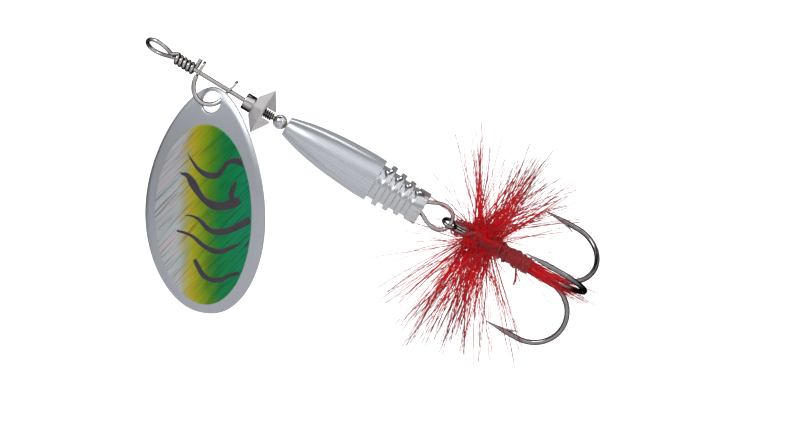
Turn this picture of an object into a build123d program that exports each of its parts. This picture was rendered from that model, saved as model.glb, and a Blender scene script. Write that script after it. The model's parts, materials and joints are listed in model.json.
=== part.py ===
"""Inline spinner: wire shaft, clevis and blade, folded hub, bead, turned body and dressed treble.

Millimetres. The origin is the centre of the line eye, +Z is up and the shaft runs down towards +X.
Stations along the shaft and along the hook are distances from their own origins.
"""
import os
from math import cos, pi, radians, sin, sqrt

from build123d import *

os.makedirs("parts", exist_ok=True)

# ---------------------------------------------------------------- driving dimensions
SHAFT_SLOPE = 31.5
WIRE_D = 0.65
RUN_FIT = 0.06

EYE_NOSE_X = -2.45
EYE_THROAT_X = 2.2
EYE_WIDTH = 3.4
EYE_TURN = 66.0
WRAP_PITCH = 0.66
WRAP_TURNS = 5
WRAP_RADIUS = 0.62
TAG_HEIGHT = 1.85

LOOP_ROOT_X = 45.2
LOOP_NOSE_X = 50.6
LOOP_WIDTH = 3.5
LOOP_STEP = 0.75
SHAFT_END_X = 44.4

CLEVIS_FRONT_X = 6.5
CLEVIS_REAR_X = 11.8
CLEVIS_DEPTH = 3.7
CLEVIS_WIRE_D = 0.6
CLEVIS_EAR_LENGTH = 2.75
CLEVIS_EAR_WIDTH = 1.5
CLEVIS_EAR_T = 0.4
CLEVIS_EAR_RISE = 0.5
CLEVIS_REAR_LEAN = 12.0
CLEVIS_FIT = 0.08

BLADE_HANG_X = 10.5
BLADE_HANG_DROP = 2.75
BLADE_LEAN = 6.6
BLADE_TURN = 30.0
BLADE_TILT = 8.0
BLADE_LENGTH = 34.3
BLADE_WIDTH = 21.3
BLADE_T = 0.5
BLADE_DISH_R = 75.0
BLADE_TOP = 2.2
BLADE_HOLE_D = 3.2
BLADE_BELLY = 1.23
BLADE_FULLNESS = 0.44
FOIL_TOP_GAP = 5.6
FOIL_LENGTH = 27.3
FOIL_WIDTH = 17.2
FOIL_T = 0.12

COLLAR_X = 14.55
COLLAR_LENGTH = 1.55
COLLAR_R = 1.3
SPIGOT_R = 0.75
SPIGOT_LENGTH = 0.6
HUB_RIDGE_X = 17.8
HUB_TAIL_X = 19.5
HUB_NOSE_R = 1.6
HUB_RIDGE_R = 3.75
HUB_TAIL_R = 1.15
HUB_SHEET = 0.3
HUB_WINDOW = 1.6
HUB_RIM = 0.2
SPRING_R = 0.56
SPRING_WIRE_D = 0.24
SPRING_PITCH = 0.33
SPRING_X = 17.35
SPRING_TURNS = 6.6

BALL_X = 20.8
BALL_R = 1.13

BODY_X = 21.92
BODY_LENGTH = 24.0
BODY_NOSE_R = 1.5
BODY_MAX_R = 3.43
BODY_SMOOTH_X = 37.65
BODY_BORE_R = 0.75
RIB_COUNT = 3
RIB_PITCH = 1.77
RIB_WIDTH = 0.92
RIB_FIRST_X = 38.7
RIB_FIRST_R = 3.37
RIB_STEP_R = 0.24
NECK_FIRST_R = 2.72
NECK_STEP_R = 0.12
END_RING_X = 44.0
END_RING_R = 2.67
POCKET_R = 1.8
POCKET_X = 42.8

HOOK_X = 50.45
HOOK_RISE = 0.35
HOOK_SLOPE = 29.0
HOOK_WIRE_D = 0.82
HOOK_OFFSET = 0.5
HOOK_BEND_X = 17.2
HOOK_BEND_R = 5.25
HOOK_TIP_X = 11.8
HOOK_TAPER = 3.4
HOOK_ANGLES = (52.0, -68.0, 172.0)
HOOK_EYE_R = 1.0
HOOK_EYE_WIRE_D = 0.6
HOOK_EYE_TURN = 30.0
BARB_X = 15.0
BARB_LENGTH = 2.1
BARB_LIFT = 24.0
BRAZE_X = 3.2
BRAZE_END_X = 17.4

THREAD_X = 2.7
THREAD_END_X = 13.6
THREAD_R = 1.2
THREAD_PITCH = 0.42
ROOT_LENGTH = 1.3
ROOT_R = 1.75
HACKLE_X = 4.05
HACKLE_LENGTH = 3.5
HACKLE_ROOT_R = 1.95
HACKLE_TIP_R = 7.5
HACKLE_ROWS = 3
HACKLE_PER_ROW = 12
TUFT_R = 0.42
TAIL_X = 17.6
TAIL_LENGTH = 6.6
TAIL_R = 0.4
TAG_X = 11.2
TAG_LENGTH = 3.4
TAG_R = 0.24

# ---------------------------------------------------------------- frames
CS = cos(radians(SHAFT_SLOPE))
SN = sin(radians(SHAFT_SLOPE))


def at(x, up=0.0, side=0.0):
    """Point at station x on the shaft, with offsets up and to the far side."""
    return Vector(x * CS + up * SN, side, -x * SN + up * CS)


def across(x):
    """Plane square to the shaft at station x: local x to the far side, local y up."""
    return Plane(origin=at(x), x_dir=(0, 1, 0), z_dir=(CS, 0, -SN))


SHAFT_SIDE = Plane(origin=(0, 0, 0), x_dir=(CS, 0, -SN), z_dir=(0, -1, 0))
SHAFT_AXIS = Axis((0, 0, 0), (CS, 0, -SN))

HC = cos(radians(HOOK_SLOPE))
HS = sin(radians(HOOK_SLOPE))
HOOK_ORIGIN = at(HOOK_X, HOOK_RISE)


def hook_point(x, out=0.0, angle=90.0):
    """Point at station x on the treble's axis, moved out by the given amount at an angle around it."""
    up = out * sin(radians(angle))
    side = out * cos(radians(angle))
    return HOOK_ORIGIN + Vector(x * HC + up * HS, side, -x * HS + up * HC)


def hook_across(x):
    """Plane square to the treble's axis."""
    return Plane(origin=hook_point(x), x_dir=(0, 1, 0), z_dir=(HC, 0, -HS))


def hook_plane(angle):
    """Plane through the treble's axis at an angle around it: local x along, local y outwards."""
    out = hook_point(0, 1, angle) - HOOK_ORIGIN
    along = Vector(HC, 0, -HS)
    return Plane(origin=HOOK_ORIGIN, x_dir=along, z_dir=along.cross(out))


HOOK_SIDE = hook_plane(90.0)
HOOK_AXIS = Axis(HOOK_ORIGIN, (HC, 0, -HS))


def save(piece, name):
    """Label a finished piece and write it."""
    piece.part.label = name
    export_step(piece.part, "parts/" + name + ".step")
    print(name, round(piece.part.volume, 3), len(piece.part.solids()))


def teardrop(root, nose, width, turn, angle):
    """Station and offsets of a wire loop that narrows to a throat at its root."""
    reach = (nose - root) / 2
    x = root + reach * (1 - cos(angle))
    out = -width / 1.54 * sin(angle) * sin(angle / 2)
    return x, out * cos(radians(turn)), out * sin(radians(turn))


# ---------------------------------------------------------------- shaft wire
ALONG = at(1)
eye_points = [at(EYE_THROAT_X + 0.45, WIRE_D + 0.03, 0.05), at(EYE_THROAT_X, 0.56, -0.3)]
for i in range(21, 2, -1):
    x, up, side = teardrop(EYE_THROAT_X, EYE_NOSE_X, EYE_WIDTH, -EYE_TURN, 2 * pi * i / 24)
    eye_points.append(at(x, up, side))
eye_points.append(at(EYE_THROAT_X + 0.5))
eye_points.append(at(EYE_THROAT_X + 1.0))

loop_points = [at(SHAFT_END_X - 1.2), at(SHAFT_END_X - 0.4)]
for i in range(4, 21):
    x, up, side = teardrop(LOOP_ROOT_X, LOOP_NOSE_X, LOOP_WIDTH, 0.0, 2 * pi * i / 24)
    loop_points.append(at(x, up + LOOP_STEP * i / 24, side))
loop_points.append(at(LOOP_ROOT_X - 0.6, LOOP_STEP + 0.1))
loop_points.append(at(LOOP_ROOT_X - 1.7, LOOP_STEP))

WRAP_X = EYE_THROAT_X + 0.3
WRAP_LENGTH = WRAP_PITCH * WRAP_TURNS
WIRE_R = WIRE_D / 2
with BuildPart() as shaft_wire:
    with BuildSketch(across(EYE_THROAT_X + 0.7)):
        Circle(WIRE_R)
    extrude(amount=SHAFT_END_X - 0.8 - EYE_THROAT_X - 0.7)
    for points in (eye_points, loop_points):
        with BuildLine() as path:
            Spline(*points)
        with BuildSketch(path.line ^ 0):
            Circle(WIRE_R - 0.006)
        sweep(path=path.line)
    with BuildLine() as wrap:
        Helix(WRAP_PITCH, WRAP_LENGTH, WRAP_RADIUS, center=at(WRAP_X), direction=ALONG)
    with BuildSketch(wrap.line ^ 0):
        Circle(WIRE_R - 0.003)
    sweep(path=wrap.line, is_frenet=True)
    with BuildSketch(Plane(origin=wrap.line @ 1 - Vector(SN, 0, CS) * 0.2, z_dir=(SN, 0, CS))):
        Circle(WIRE_R - 0.01)
    extrude(amount=TAG_HEIGHT - WRAP_RADIUS + 0.2)
save(shaft_wire, "shaft_wire")

# ---------------------------------------------------------------- clevis
clevis_mid = (CLEVIS_FRONT_X + CLEVIS_REAR_X) / 2
clevis_half = (CLEVIS_REAR_X - CLEVIS_FRONT_X) / 2
rear_ear = across(CLEVIS_REAR_X).rotated((CLEVIS_REAR_LEAN, 0, 0))
with BuildPart() as clevis:
    with BuildLine(SHAFT_SIDE) as bow:
        EllipticalCenterArc((clevis_mid, -0.6), clevis_half, CLEVIS_DEPTH - 0.6, start_angle=180, arc_size=180)
    with BuildSketch(bow.line ^ 0):
        Circle(CLEVIS_WIRE_D / 2)
    sweep(path=bow.line)
    with BuildSketch(across(CLEVIS_FRONT_X).offset(-CLEVIS_EAR_T / 2)):
        with Locations((0, CLEVIS_EAR_RISE)):
            SlotOverall(CLEVIS_EAR_LENGTH, CLEVIS_EAR_WIDTH, rotation=90)
    extrude(amount=CLEVIS_EAR_T)
    with BuildSketch(rear_ear.offset(-CLEVIS_EAR_T / 2)):
        with Locations((0, CLEVIS_EAR_RISE)):
            SlotOverall(CLEVIS_EAR_LENGTH, CLEVIS_EAR_WIDTH, rotation=90)
    extrude(amount=CLEVIS_EAR_T)
    with BuildSketch(across(CLEVIS_FRONT_X - 2)):
        Circle(WIRE_D / 2 + CLEVIS_FIT)
    extrude(amount=CLEVIS_REAR_X - CLEVIS_FRONT_X + 4, mode=Mode.SUBTRACT)
save(clevis, "clevis")

# ---------------------------------------------------------------- blade and foil
lean = radians(BLADE_LEAN)
turn = radians(BLADE_TURN)
blade_x = Vector(cos(turn) * cos(lean), -sin(turn), -cos(turn) * sin(lean))
blade_fall = Vector(-sin(lean), 0, -cos(lean))
blade_face = blade_fall.cross(blade_x)
tilt = radians(BLADE_TILT)
blade_normal = blade_face * cos(tilt) + blade_fall * sin(tilt)
blade_origin = at(BLADE_HANG_X, -BLADE_HANG_DROP)
BLADE_PLANE = Plane(origin=blade_origin, x_dir=blade_x, z_dir=blade_normal)
blade_mid = BLADE_TOP - BLADE_LENGTH / 2
foil_mid = BLADE_TOP - FOIL_TOP_GAP - FOIL_LENGTH / 2
dish_drop = BLADE_DISH_R - sqrt(BLADE_DISH_R**2 - blade_mid**2)
dish_centre = (0, blade_mid, BLADE_T / 2 + dish_drop - BLADE_DISH_R)


def egg_points(length, width, top, belly, fullness, steps):
    """Points down one side of a closed egg outline, from its top to its bottom."""
    points = []
    for i in range(steps + 1):
        share = (1 - cos(pi * i / steps)) / 2
        bulge = max(sin(pi * share**belly), 0.0) ** fullness
        points.append((width / 2 * bulge, top - length * share))
    return points


egg_side = egg_points(BLADE_LENGTH, BLADE_WIDTH, BLADE_TOP, BLADE_BELLY, BLADE_FULLNESS, 16)
egg_rest = [(-x, y) for x, y in reversed(egg_side[1:-1])]

with BuildPart(BLADE_PLANE) as blade_foil:
    with Locations(dish_centre):
        Sphere(BLADE_DISH_R)
        Sphere(BLADE_DISH_R - FOIL_T, mode=Mode.SUBTRACT)
    with BuildSketch(BLADE_PLANE.offset(-6)):
        with Locations((0, foil_mid)):
            Ellipse(FOIL_WIDTH / 2, FOIL_LENGTH / 2)
    extrude(amount=12, mode=Mode.INTERSECT)
save(blade_foil, "blade_foil")

with BuildPart(BLADE_PLANE) as foil_recess:
    with Locations(dish_centre):
        Sphere(BLADE_DISH_R + 1)
        Sphere(BLADE_DISH_R - FOIL_T, mode=Mode.SUBTRACT)
    with BuildSketch(BLADE_PLANE.offset(-6)):
        with Locations((0, foil_mid)):
            Ellipse(FOIL_WIDTH / 2, FOIL_LENGTH / 2)
    extrude(amount=12, mode=Mode.INTERSECT)

with BuildPart(BLADE_PLANE) as blade_blank:
    with Locations(dish_centre):
        Sphere(BLADE_DISH_R)
        Sphere(BLADE_DISH_R - BLADE_T, mode=Mode.SUBTRACT)
    with BuildSketch(BLADE_PLANE.offset(-6)):
        with BuildLine():
            Spline(*(egg_side + egg_rest), periodic=True)
        make_face()
        Circle(BLADE_HOLE_D / 2, mode=Mode.SUBTRACT)
    extrude(amount=12, mode=Mode.INTERSECT)

with BuildPart() as blade:
    add(blade_blank.part)
    add(foil_recess.part, mode=Mode.SUBTRACT)
save(blade, "blade")

# ---------------------------------------------------------------- hub
with BuildPart() as hub_collar:
    with BuildSketch(across(COLLAR_X)):
        Circle(COLLAR_R)
    extrude(amount=COLLAR_LENGTH)
    fillet(hub_collar.edges(), radius=0.15)
    with BuildSketch(across(COLLAR_X + COLLAR_LENGTH)):
        Circle(SPIGOT_R)
    extrude(amount=SPIGOT_LENGTH)
    with BuildSketch(across(COLLAR_X - 1)):
        Circle(WIRE_D / 2 + RUN_FIT)
    extrude(amount=COLLAR_LENGTH + SPIGOT_LENGTH + 2, mode=Mode.SUBTRACT)
save(hub_collar, "hub_collar")


NOSE_X = COLLAR_X + COLLAR_LENGTH
LEAF = HUB_SHEET * 1.6
with BuildPart() as hub_front_cup:
    for x, reach in ((NOSE_X, HUB_NOSE_R), (HUB_RIDGE_X, HUB_RIDGE_R)):
        with BuildSketch(across(x)):
            RectangleRounded(reach * sqrt(2), reach * sqrt(2), 0.12, rotation=45)
    loft()
    for x, reach in ((NOSE_X + HUB_SHEET, HUB_NOSE_R - LEAF * 0.3), (HUB_RIDGE_X, HUB_RIDGE_R - LEAF)):
        with BuildSketch(across(x)):
            RectangleRounded(reach * sqrt(2), reach * sqrt(2), 0.1, rotation=45)
    loft(mode=Mode.SUBTRACT)
    with BuildSketch(across(NOSE_X - 1)):
        Circle(SPIGOT_R)
    extrude(amount=3, mode=Mode.SUBTRACT)
save(hub_front_cup, "hub_front_cup")

with BuildPart() as hub_rear_cup:
    for x, reach in ((HUB_RIDGE_X, HUB_RIDGE_R), (HUB_TAIL_X, HUB_TAIL_R)):
        with BuildSketch(across(x)):
            RectangleRounded(reach * sqrt(2), reach * sqrt(2), 0.12, rotation=45)
    loft()
    for x, reach in ((HUB_RIDGE_X, HUB_RIDGE_R - LEAF), (HUB_TAIL_X, HUB_TAIL_R - LEAF)):
        with BuildSketch(across(x)):
            RectangleRounded(reach * sqrt(2), reach * sqrt(2), 0.1, rotation=45)
    loft(mode=Mode.SUBTRACT)
    with BuildSketch(across(HUB_RIDGE_X + HUB_RIM)):
        Rectangle(12, HUB_WINDOW)
    extrude(amount=4, mode=Mode.SUBTRACT)
    with BuildSketch(across(HUB_RIDGE_X - 1)):
        Circle(HUB_WINDOW / 2)
    extrude(amount=4, mode=Mode.SUBTRACT)
save(hub_rear_cup, "hub_rear_cup")

with BuildPart() as hub_spring:
    with BuildLine() as coil:
        Helix(SPRING_PITCH, SPRING_PITCH * SPRING_TURNS, SPRING_R, center=at(SPRING_X), direction=(CS, 0, -SN))
    with BuildSketch(coil.line ^ 0):
        Circle(SPRING_WIRE_D / 2)
    sweep(path=coil.line, is_frenet=True)
save(hub_spring, "hub_spring")

# ---------------------------------------------------------------- ball
with BuildPart() as ball_bead:
    with Locations(at(BALL_X)):
        Sphere(BALL_R)
    with BuildSketch(across(BALL_X - 2)):
        Circle(WIRE_D / 2 + RUN_FIT)
    extrude(amount=4, mode=Mode.SUBTRACT)
save(ball_bead, "ball_bead")

# ---------------------------------------------------------------- body
BODY_END_X = BODY_X + BODY_LENGTH
with BuildPart() as body:
    with BuildSketch(SHAFT_SIDE):
        with BuildLine():
            swell = Spline(
                (BODY_X, BODY_NOSE_R),
                (BODY_X + 6.6, BODY_NOSE_R + 1.42),
                (BODY_SMOOTH_X - 2.2, BODY_MAX_R),
                tangents=[(1, 0.29), (1, 0)],
            )
            Line(swell @ 1, (BODY_SMOOTH_X, BODY_MAX_R - 0.03))
            Line((BODY_SMOOTH_X, BODY_MAX_R - 0.03), (BODY_SMOOTH_X, 0))
            Line((BODY_SMOOTH_X, 0), (BODY_X, 0))
            Line((BODY_X, 0), swell @ 0)
        make_face()
        for rib in range(RIB_COUNT):
            rib_x = RIB_FIRST_X + rib * RIB_PITCH
            neck_x = BODY_SMOOTH_X if rib == 0 else rib_x - RIB_PITCH + RIB_WIDTH
            neck_r = NECK_FIRST_R - rib * NECK_STEP_R
            with Locations((neck_x, 0)):
                Rectangle(rib_x - neck_x, neck_r, align=(Align.MIN, Align.MIN))
            with Locations((rib_x, 0)):
                Rectangle(RIB_WIDTH, RIB_FIRST_R - rib * RIB_STEP_R, align=(Align.MIN, Align.MIN))
        last_x = RIB_FIRST_X + (RIB_COUNT - 1) * RIB_PITCH + RIB_WIDTH
        with Locations((last_x, 0)):
            Rectangle(END_RING_X - last_x, NECK_FIRST_R - RIB_COUNT * NECK_STEP_R, align=(Align.MIN, Align.MIN))
        with Locations((END_RING_X, 0)):
            Rectangle(BODY_END_X - END_RING_X, END_RING_R, align=(Align.MIN, Align.MIN))
    revolve(axis=SHAFT_AXIS)
    with BuildSketch(across(BODY_X - 1)):
        Circle(BODY_BORE_R)
    extrude(amount=BODY_LENGTH + 2, mode=Mode.SUBTRACT)
    with BuildSketch(across(POCKET_X)):
        Circle(POCKET_R)
    extrude(amount=BODY_LENGTH, mode=Mode.SUBTRACT)
save(body, "body")

with BuildPart() as body_liner:
    with BuildSketch(across(BODY_X)):
        Circle(BODY_BORE_R)
        Circle(WIRE_D / 2 + RUN_FIT, mode=Mode.SUBTRACT)
    extrude(amount=POCKET_X - BODY_X)
save(body_liner, "body_liner")

# ---------------------------------------------------------------- treble
def hook_arm(angle, start_x):
    """One point of the treble: shank, bend, arm, tapered tip and barb."""
    plane = hook_plane(angle)
    arm_out = HOOK_OFFSET + 2 * HOOK_BEND_R
    taper_x = HOOK_TIP_X + HOOK_TAPER
    with BuildPart() as arm:
        with BuildLine(plane) as run:
            Line((start_x, HOOK_OFFSET), (HOOK_BEND_X, HOOK_OFFSET))
            JernArc((HOOK_BEND_X, HOOK_OFFSET), (1, 0), HOOK_BEND_R, 180)
            Line((HOOK_BEND_X, arm_out), (taper_x, arm_out))
        with BuildSketch(run.wire() ^ 0):
            Circle(HOOK_WIRE_D / 2)
        sweep(path=run.wire())
        tip = Plane(origin=hook_point(taper_x, arm_out, angle), x_dir=plane.y_dir, z_dir=-plane.x_dir)
        with BuildSketch(tip):
            Circle(HOOK_WIRE_D / 2)
        with BuildSketch(tip.offset(HOOK_TAPER)):
            Circle(0.05)
        loft()
        root = plane.from_local_coords((BARB_X, arm_out - HOOK_WIRE_D * 0.2, 0))
        rise = radians(BARB_LIFT)
        point = plane.x_dir * cos(rise) - plane.y_dir * sin(rise)
        barb = Plane(origin=root, x_dir=plane.z_dir, z_dir=point)
        with BuildSketch(barb):
            Ellipse(0.2, 0.27)
        with BuildSketch(barb.offset(BARB_LENGTH)):
            Circle(0.04)
        loft()
    return arm.part


arms = [hook_arm(HOOK_ANGLES[0], 0.85), hook_arm(HOOK_ANGLES[1], 0.85), hook_arm(HOOK_ANGLES[2], BRAZE_X)]
eye_plane = hook_plane(HOOK_EYE_TURN)
with BuildPart() as hook_eye:
    with BuildSketch(Plane(origin=HOOK_ORIGIN, x_dir=eye_plane.x_dir, z_dir=eye_plane.y_dir)):
        with Locations((HOOK_EYE_R, 0)):
            Circle(HOOK_EYE_WIRE_D / 2)
    revolve(axis=Axis(HOOK_ORIGIN, eye_plane.z_dir))

with BuildPart() as double_hook:
    add(arms[0])
    add(arms[1])
    add(hook_eye.part)
save(double_hook, "double_hook")

with BuildPart() as single_hook:
    add(arms[2])
save(single_hook, "single_hook")

with BuildPart() as hook_braze:
    with BuildSketch(hook_across(BRAZE_X)):
        Circle(HOOK_OFFSET + 0.08)
    extrude(amount=BRAZE_END_X - BRAZE_X)
    for arm in arms:
        add(arm, mode=Mode.SUBTRACT)
save(hook_braze, "hook_braze")

# ---------------------------------------------------------------- dressing
SHANK_R = HOOK_OFFSET + HOOK_WIRE_D / 2 + 0.01
thread_turns = int((THREAD_END_X - THREAD_X) / THREAD_PITCH)
with BuildPart() as shank_thread:
    with BuildSketch(HOOK_SIDE):
        with Locations((THREAD_X, SHANK_R)):
            Rectangle(THREAD_END_X - THREAD_X, THREAD_R - SHANK_R, align=(Align.MIN, Align.MIN))
        for i in range(thread_turns):
            with Locations((THREAD_X + THREAD_PITCH * (i + 0.5), THREAD_R)):
                Ellipse(THREAD_PITCH * 0.45, 0.1)
    revolve(axis=HOOK_AXIS)
save(shank_thread, "shank_thread")

DRESS_R = THREAD_R + 0.11
with BuildPart() as root_thread:
    with BuildSketch(HOOK_SIDE):
        with Locations((THREAD_X, DRESS_R)):
            Rectangle(ROOT_LENGTH, ROOT_R - DRESS_R, align=(Align.MIN, Align.MIN))
    revolve(axis=HOOK_AXIS)
    fillet(root_thread.edges().filter_by(GeomType.CIRCLE).sort_by(SortBy.RADIUS)[-2:], radius=0.18)
save(root_thread, "root_thread")

with BuildPart() as hackle_collar:
    with BuildSketch(hook_across(HACKLE_X)):
        Circle(HACKLE_ROOT_R)
    extrude(amount=HACKLE_LENGTH)
    for row in range(HACKLE_ROWS):
        row_x = HACKLE_X + HACKLE_LENGTH * (row + 0.5) / HACKLE_ROWS
        splay = (row - 1) * 0.18
        for i in range(HACKLE_PER_ROW):
            angle = 360.0 * (i + row / HACKLE_ROWS) / HACKLE_PER_ROW
            foot = hook_point(row_x, HACKLE_ROOT_R - 0.35, angle)
            tip = hook_point(row_x + splay * HACKLE_TIP_R, HACKLE_TIP_R, angle)
            tuft = Plane(origin=foot, z_dir=tip - foot)
            with BuildSketch(tuft):
                Circle(TUFT_R)
            with BuildSketch(tuft.offset((tip - foot).length)):
                Circle(0.1)
            loft()
    with BuildSketch(hook_across(HACKLE_X - 1)):
        Circle(DRESS_R)
    extrude(amount=HACKLE_LENGTH + 2, mode=Mode.SUBTRACT)
save(hackle_collar, "hackle_collar")

with BuildPart() as tail_fibres:
    with BuildSketch(HOOK_SIDE):
        with BuildLine():
            swell = Spline((TAIL_X, 0.03), (TAIL_X + 3.2, TAIL_R), (TAIL_X + TAIL_LENGTH, 0.08))
            Line(swell @ 1, (TAIL_X + TAIL_LENGTH, 0))
            Line((TAIL_X + TAIL_LENGTH, 0), (TAIL_X, 0))
            Line((TAIL_X, 0), swell @ 0)
        make_face()
    revolve(axis=HOOK_AXIS)
save(tail_fibres, "tail_fibres")

tag_foot = hook_point(TAG_X, THREAD_R + 0.13, -90.0)
tag_tip = hook_point(TAG_X + TAG_LENGTH * 0.45, THREAD_R + TAG_LENGTH * 0.9, -90.0)
tag_plane = Plane(origin=tag_foot, z_dir=tag_tip - tag_foot)
with BuildPart() as thread_tag:
    with BuildSketch(tag_plane):
        Circle(TAG_R)
    extrude(amount=(tag_tip - tag_foot).length)
save(thread_tag, "thread_tag")
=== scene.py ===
import math
import random

import bpy
import numpy as np
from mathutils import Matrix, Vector
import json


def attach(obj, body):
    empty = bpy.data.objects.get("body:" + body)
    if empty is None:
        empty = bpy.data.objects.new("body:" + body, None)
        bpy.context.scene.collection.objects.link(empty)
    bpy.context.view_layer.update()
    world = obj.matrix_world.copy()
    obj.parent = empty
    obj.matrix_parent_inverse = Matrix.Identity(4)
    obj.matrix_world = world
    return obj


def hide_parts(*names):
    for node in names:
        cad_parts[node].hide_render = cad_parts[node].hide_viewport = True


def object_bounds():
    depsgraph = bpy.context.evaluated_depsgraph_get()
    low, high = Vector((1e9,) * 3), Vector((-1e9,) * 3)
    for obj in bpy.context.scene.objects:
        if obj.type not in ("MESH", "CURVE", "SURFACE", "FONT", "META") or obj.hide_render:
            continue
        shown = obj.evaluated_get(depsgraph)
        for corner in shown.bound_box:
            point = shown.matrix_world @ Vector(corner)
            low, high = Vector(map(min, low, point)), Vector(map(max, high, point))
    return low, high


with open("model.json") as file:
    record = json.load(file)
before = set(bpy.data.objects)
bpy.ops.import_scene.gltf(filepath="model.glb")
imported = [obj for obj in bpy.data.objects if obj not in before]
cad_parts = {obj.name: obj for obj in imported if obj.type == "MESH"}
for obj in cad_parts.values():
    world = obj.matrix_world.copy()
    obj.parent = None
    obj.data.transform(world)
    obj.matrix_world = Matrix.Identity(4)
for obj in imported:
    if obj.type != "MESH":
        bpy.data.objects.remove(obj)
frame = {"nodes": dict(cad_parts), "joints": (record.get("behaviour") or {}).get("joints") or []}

START_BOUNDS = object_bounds()
MM = 0.001
MICRON = 0.000001
RNG = random.Random(7)
ARRAY_RNG = np.random.default_rng(11)
JOINTS = {joint["name"]: joint for joint in frame["joints"]}


# ------------------------------------------------------------------ frames read from the CAD
def cad_points(node):
    """Vertices of a CAD node, in millimetres."""
    mesh = frame["nodes"][node].data
    flat = np.zeros(len(mesh.vertices) * 3)
    mesh.vertices.foreach_get("co", flat)
    return flat.reshape(-1, 3) / MM


# the shaft's frame: along it from the eye to the hook, up across it, and away from the viewer
ALONG = np.array(Vector(JOINTS["body_spin"]["axis"]).normalized())
FAR = np.array([0.0, 1.0, 0.0])
UP = np.cross(ALONG, FAR)


def at(x, up=0.0, side=0.0):
    """Point by station along the shaft and distances across it, in millimetres."""
    return ALONG * x + UP * up + FAR * side


def span(node, origin=np.zeros(3), along=ALONG):
    """First station, last station and largest radius of a CAD node about an axis."""
    points = cad_points(node) - origin
    x = points @ along
    radius = np.sqrt(np.maximum((points * points).sum(1) - x * x, 0))
    return x.min(), x.max(), radius.max()


def middle(node):
    """Centre of a CAD node's box, in millimetres."""
    points = cad_points(node)
    return (points.min(0) + points.max(0)) / 2


# the treble's frame: its origin is the centre of the eye, and its axis runs down the shanks
TREBLE_EYE_R = 1.3
root_centre = cad_points("root_thread").mean(0)
shank_centre = cad_points("shank_thread").mean(0)
TREBLE_ALONG = (shank_centre - root_centre) / np.linalg.norm(shank_centre - root_centre)
TREBLE_UP = np.cross(TREBLE_ALONG, FAR)
hook_start = span("double_hook", root_centre, TREBLE_ALONG)[0]
TREBLE_ORIGIN = root_centre + TREBLE_ALONG * (hook_start + TREBLE_EYE_R)


def hook_out(turn):
    """Direction out from the treble's axis, by a turn in radians."""
    return TREBLE_UP * math.sin(turn) + FAR * math.cos(turn)


def hook_at(x, out, angle):
    """Point by station along the treble, distance out and angle in degrees, in millimetres."""
    return TREBLE_ORIGIN + TREBLE_ALONG * x + hook_out(math.radians(angle)) * out


# ------------------------------------------------------------------ mesh helpers
def link(name, shape, material, body, replaces=(), colours=None):
    """Makes one piece of the object from its vertices in millimetres, faces and UVs."""
    verts, faces, uvs = shape
    mesh = bpy.data.meshes.new(name)
    mesh.from_pydata((np.asarray(verts) * MM).tolist(), [], [list(map(int, face)) for face in faces])
    mesh.update()
    mesh.polygons.foreach_set("use_smooth", [True] * len(mesh.polygons))
    if colours is not None:
        layer = mesh.attributes.new("shade", "FLOAT_COLOR", "POINT")
        layer.data.foreach_set("color", np.asarray(colours, np.float32).ravel())
    if uvs is not None:
        layer = mesh.uv_layers.new(name="UVMap")
        loops = np.zeros(len(mesh.loops), int)
        mesh.loops.foreach_get("vertex_index", loops)
        layer.data.foreach_set("uv", np.asarray(uvs, np.float32)[loops].ravel())
    mesh.materials.append(material)
    obj = bpy.data.objects.new(name, mesh)
    bpy.context.scene.collection.objects.link(obj)
    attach(obj, body)
    if replaces:
        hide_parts(*replaces)
    return obj


def grid_faces(rows, across, first=0, closed=True, looped=True, flip=False):
    """Quads between rows of points: closed joins the last row to the first, looped closes each row."""
    faces = []
    for i in range(rows if closed else rows - 1):
        here = first + i * across
        there = first + (i + 1) % rows * across
        for j in range(across if looped else across - 1):
            k = (j + 1) % across
            quad = (here + j, there + j, there + k, here + k)
            faces.append((quad[0], quad[3], quad[2], quad[1]) if flip else quad)
    return faces


def run_along(path):
    """Length from the start of a path to each of its points."""
    return np.concatenate([[0], np.cumsum(np.linalg.norm(np.diff(path, axis=0), axis=1))])


def wrap_uvs(path, sides):
    """UVs of rings set along a path: U goes once round a ring, and V is the run in millimetres."""
    around = np.arange(sides) / sides
    return np.stack(np.broadcast_arrays(around[None], run_along(path)[:, None]), -1).reshape(-1, 2)


def circle(sides):
    """Evenly spaced angles, once round."""
    return 2 * math.pi * np.arange(sides) / sides


def normals_along(points):
    """Two turning-free normals at each point of a path."""
    tangent = np.gradient(points, axis=0)
    tangent /= np.linalg.norm(tangent, axis=1)[:, None]
    start = FAR if abs(tangent[0] @ FAR) < 0.9 else UP
    normal = start - tangent[0] * (start @ tangent[0])
    normal /= np.linalg.norm(normal)
    ones, twos = [], []
    for t in tangent:
        normal = normal - t * (normal @ t)
        normal /= np.linalg.norm(normal)
        ones.append(normal)
        twos.append(np.cross(t, normal))
    return np.array(ones), np.array(twos)


def tube(points, radii, sides):
    """Vertices, faces and UVs of a round tube along a path, closed at both ends."""
    points = np.asarray(points, float)
    count = len(points)
    radii = np.broadcast_to(np.asarray(radii, float), (count,))[:, None, None]
    one, two = normals_along(points)
    angle = circle(sides)[:, None]
    ring = one[:, None] * np.cos(angle) * radii + two[:, None] * np.sin(angle) * radii
    verts = (points[:, None] + ring).reshape(-1, 3)
    faces = grid_faces(count, sides, closed=False, flip=True)
    faces.append(tuple(range(sides - 1, -1, -1)))
    faces.append(tuple(range((count - 1) * sides, count * sides)))
    return verts, faces, wrap_uvs(points, sides)


def lathe(profile, sides):
    """Vertices, faces and UVs of a closed ring of (x, r) points turned about the shaft."""
    profile = np.array(profile)
    angle = circle(sides)[:, None]
    turn = np.cos(angle) * UP + np.sin(angle) * FAR
    verts = profile[:, 0, None, None] * ALONG + profile[:, 1, None, None] * turn
    return verts.reshape(-1, 3), grid_faces(len(profile), sides), wrap_uvs(profile, sides)


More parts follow.
